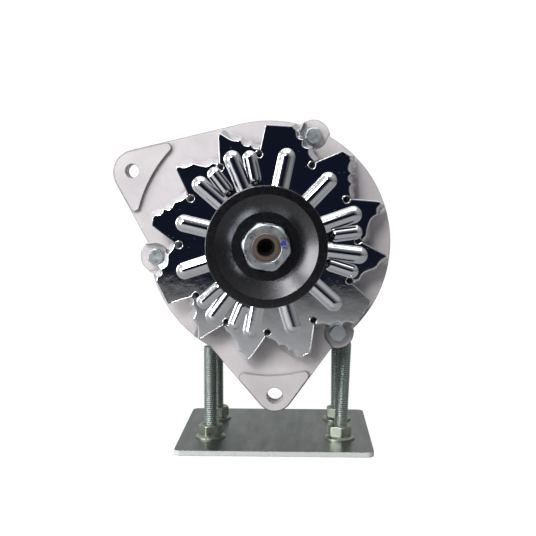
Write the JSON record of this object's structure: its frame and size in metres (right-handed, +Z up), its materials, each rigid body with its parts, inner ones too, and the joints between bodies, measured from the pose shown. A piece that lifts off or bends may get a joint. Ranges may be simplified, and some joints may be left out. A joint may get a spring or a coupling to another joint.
{
  "type": "claw-pole alternator on display stand",
  "caption": "Vehicle alternator with a V-belt pulley, pressed external cooling fan and eared cast bracket, on a studded steel display stand.",
  "frame": {"origin": "centre of the stand plate's underside", "axes": "+Z up, pulley end faces -Y, shaft along Y"},
  "size_m": [0.1599, 0.1918, 0.193],
  "materials": {
    "zinc_steel": "zinc plate",
    "yellow_zinc": "greenish yellow zinc plate",
    "cast_aluminium": "blasted casting",
    "lacquered_steel": "lacquered laminations",
    "copper": "enamelled copper",
    "black_plastic": "glass-filled moulding",
    "red_plastic": "moulded",
    "bare_steel": "machined",
    "black_paint": "semi-gloss black paint",
    "bright_plate": "bright zinc plate on pressed sheet",
    "graphite": "carbon brush"
  },
  "bodies": {
    "housing": {"stand_plate": "zinc_steel", "stand_studs": "zinc_steel", "stand_nuts": "yellow_zinc", "drive_end_bracket": "cast_aluminium", "front_bearing_outer_race": "bare_steel", "bearing_retainer": "bare_steel", "retainer_screws": "zinc_steel", "stator_core": "lacquered_steel", "stator_windings": "copper", "rear_bracket": "cast_aluminium", "rear_bearing_outer_race": "bare_steel", "through_bolts": "zinc_steel", "through_bolt_washers": "zinc_steel", "through_bolt_nuts": "zinc_steel", "negative_heat_sink": "cast_aluminium", "positive_heat_sink": "cast_aluminium", "rectifier_insulators": "black_plastic", "negative_diodes": "zinc_steel", "positive_diodes": "zinc_steel", "rectifier_screws": "zinc_steel", "brush_holder": "black_plastic", "voltage_regulator": "black_plastic", "rear_cover": "black_plastic", "cover_studs": "zinc_steel", "cover_nuts": "zinc_steel", "battery_stud": "zinc_steel", "battery_insulator": "red_plastic", "battery_nut": "zinc_steel", "front_brush_spring": "bare_steel", "rear_brush_spring": "bare_steel"},
    "rotor": {"rotor_shaft": "bare_steel", "woodruff_key": "bare_steel", "pulley": "black_paint", "pulley_washer": "zinc_steel", "pulley_nut": "zinc_steel", "pulley_spacer": "bare_steel", "fan": "bright_plate", "fan_spacer": "bare_steel", "front_claw_pole": "bare_steel", "rear_claw_pole": "bare_steel", "field_coil": "copper", "slip_ring_hub": "black_plastic", "slip_rings": "copper", "front_bearing_inner_race": "bare_steel", "rear_bearing_inner_race": "bare_steel"},
    "front_balls": {"front_bearing_balls": "bare_steel", "front_bearing_cage": "bare_steel"},
    "rear_balls": {"rear_bearing_balls": "bare_steel", "rear_bearing_cage": "bare_steel"},
    "front_brush_slide": {"front_brush": "graphite"},
    "rear_brush_slide": {"rear_brush": "graphite"}
  },
  "joints": [
    {"name": "rotor_spin", "type": "hinge", "parent": "housing", "child": "rotor", "pos_m": [-0.003, -0.0415, 0.122], "axis": [0, 1, 0], "continuous": true},
    {"name": "front_balls_spin", "type": "hinge", "parent": "housing", "child": "front_balls", "pos_m": [-0.003, -0.0415, 0.122], "axis": [0, 1, 0], "continuous": true},
    {"name": "rear_balls_spin", "type": "hinge", "parent": "housing", "child": "rear_balls", "pos_m": [-0.003, -0.0415, 0.122], "axis": [0, 1, 0], "continuous": true},
    {"name": "front_brush_lift", "type": "slide", "parent": "housing", "child": "front_brush_slide", "axis": [0, 0, 1], "range_m": [0, 0.005], "stiffness_N_per_m": 300, "springref_m": -0.004, "deforming": ["front_brush_spring"]},
    {"name": "rear_brush_lift", "type": "slide", "parent": "housing", "child": "rear_brush_slide", "axis": [0, 0, 1], "range_m": [0, 0.005], "stiffness_N_per_m": 300, "springref_m": -0.004, "deforming": ["rear_brush_spring"]}
  ],
  "couplings": [
    {"joint": "front_balls_spin", "follows": "rotor_spin", "ratio": 0.3641},
    {"joint": "rear_balls_spin", "follows": "rotor_spin", "ratio": 0.382}
  ]
}
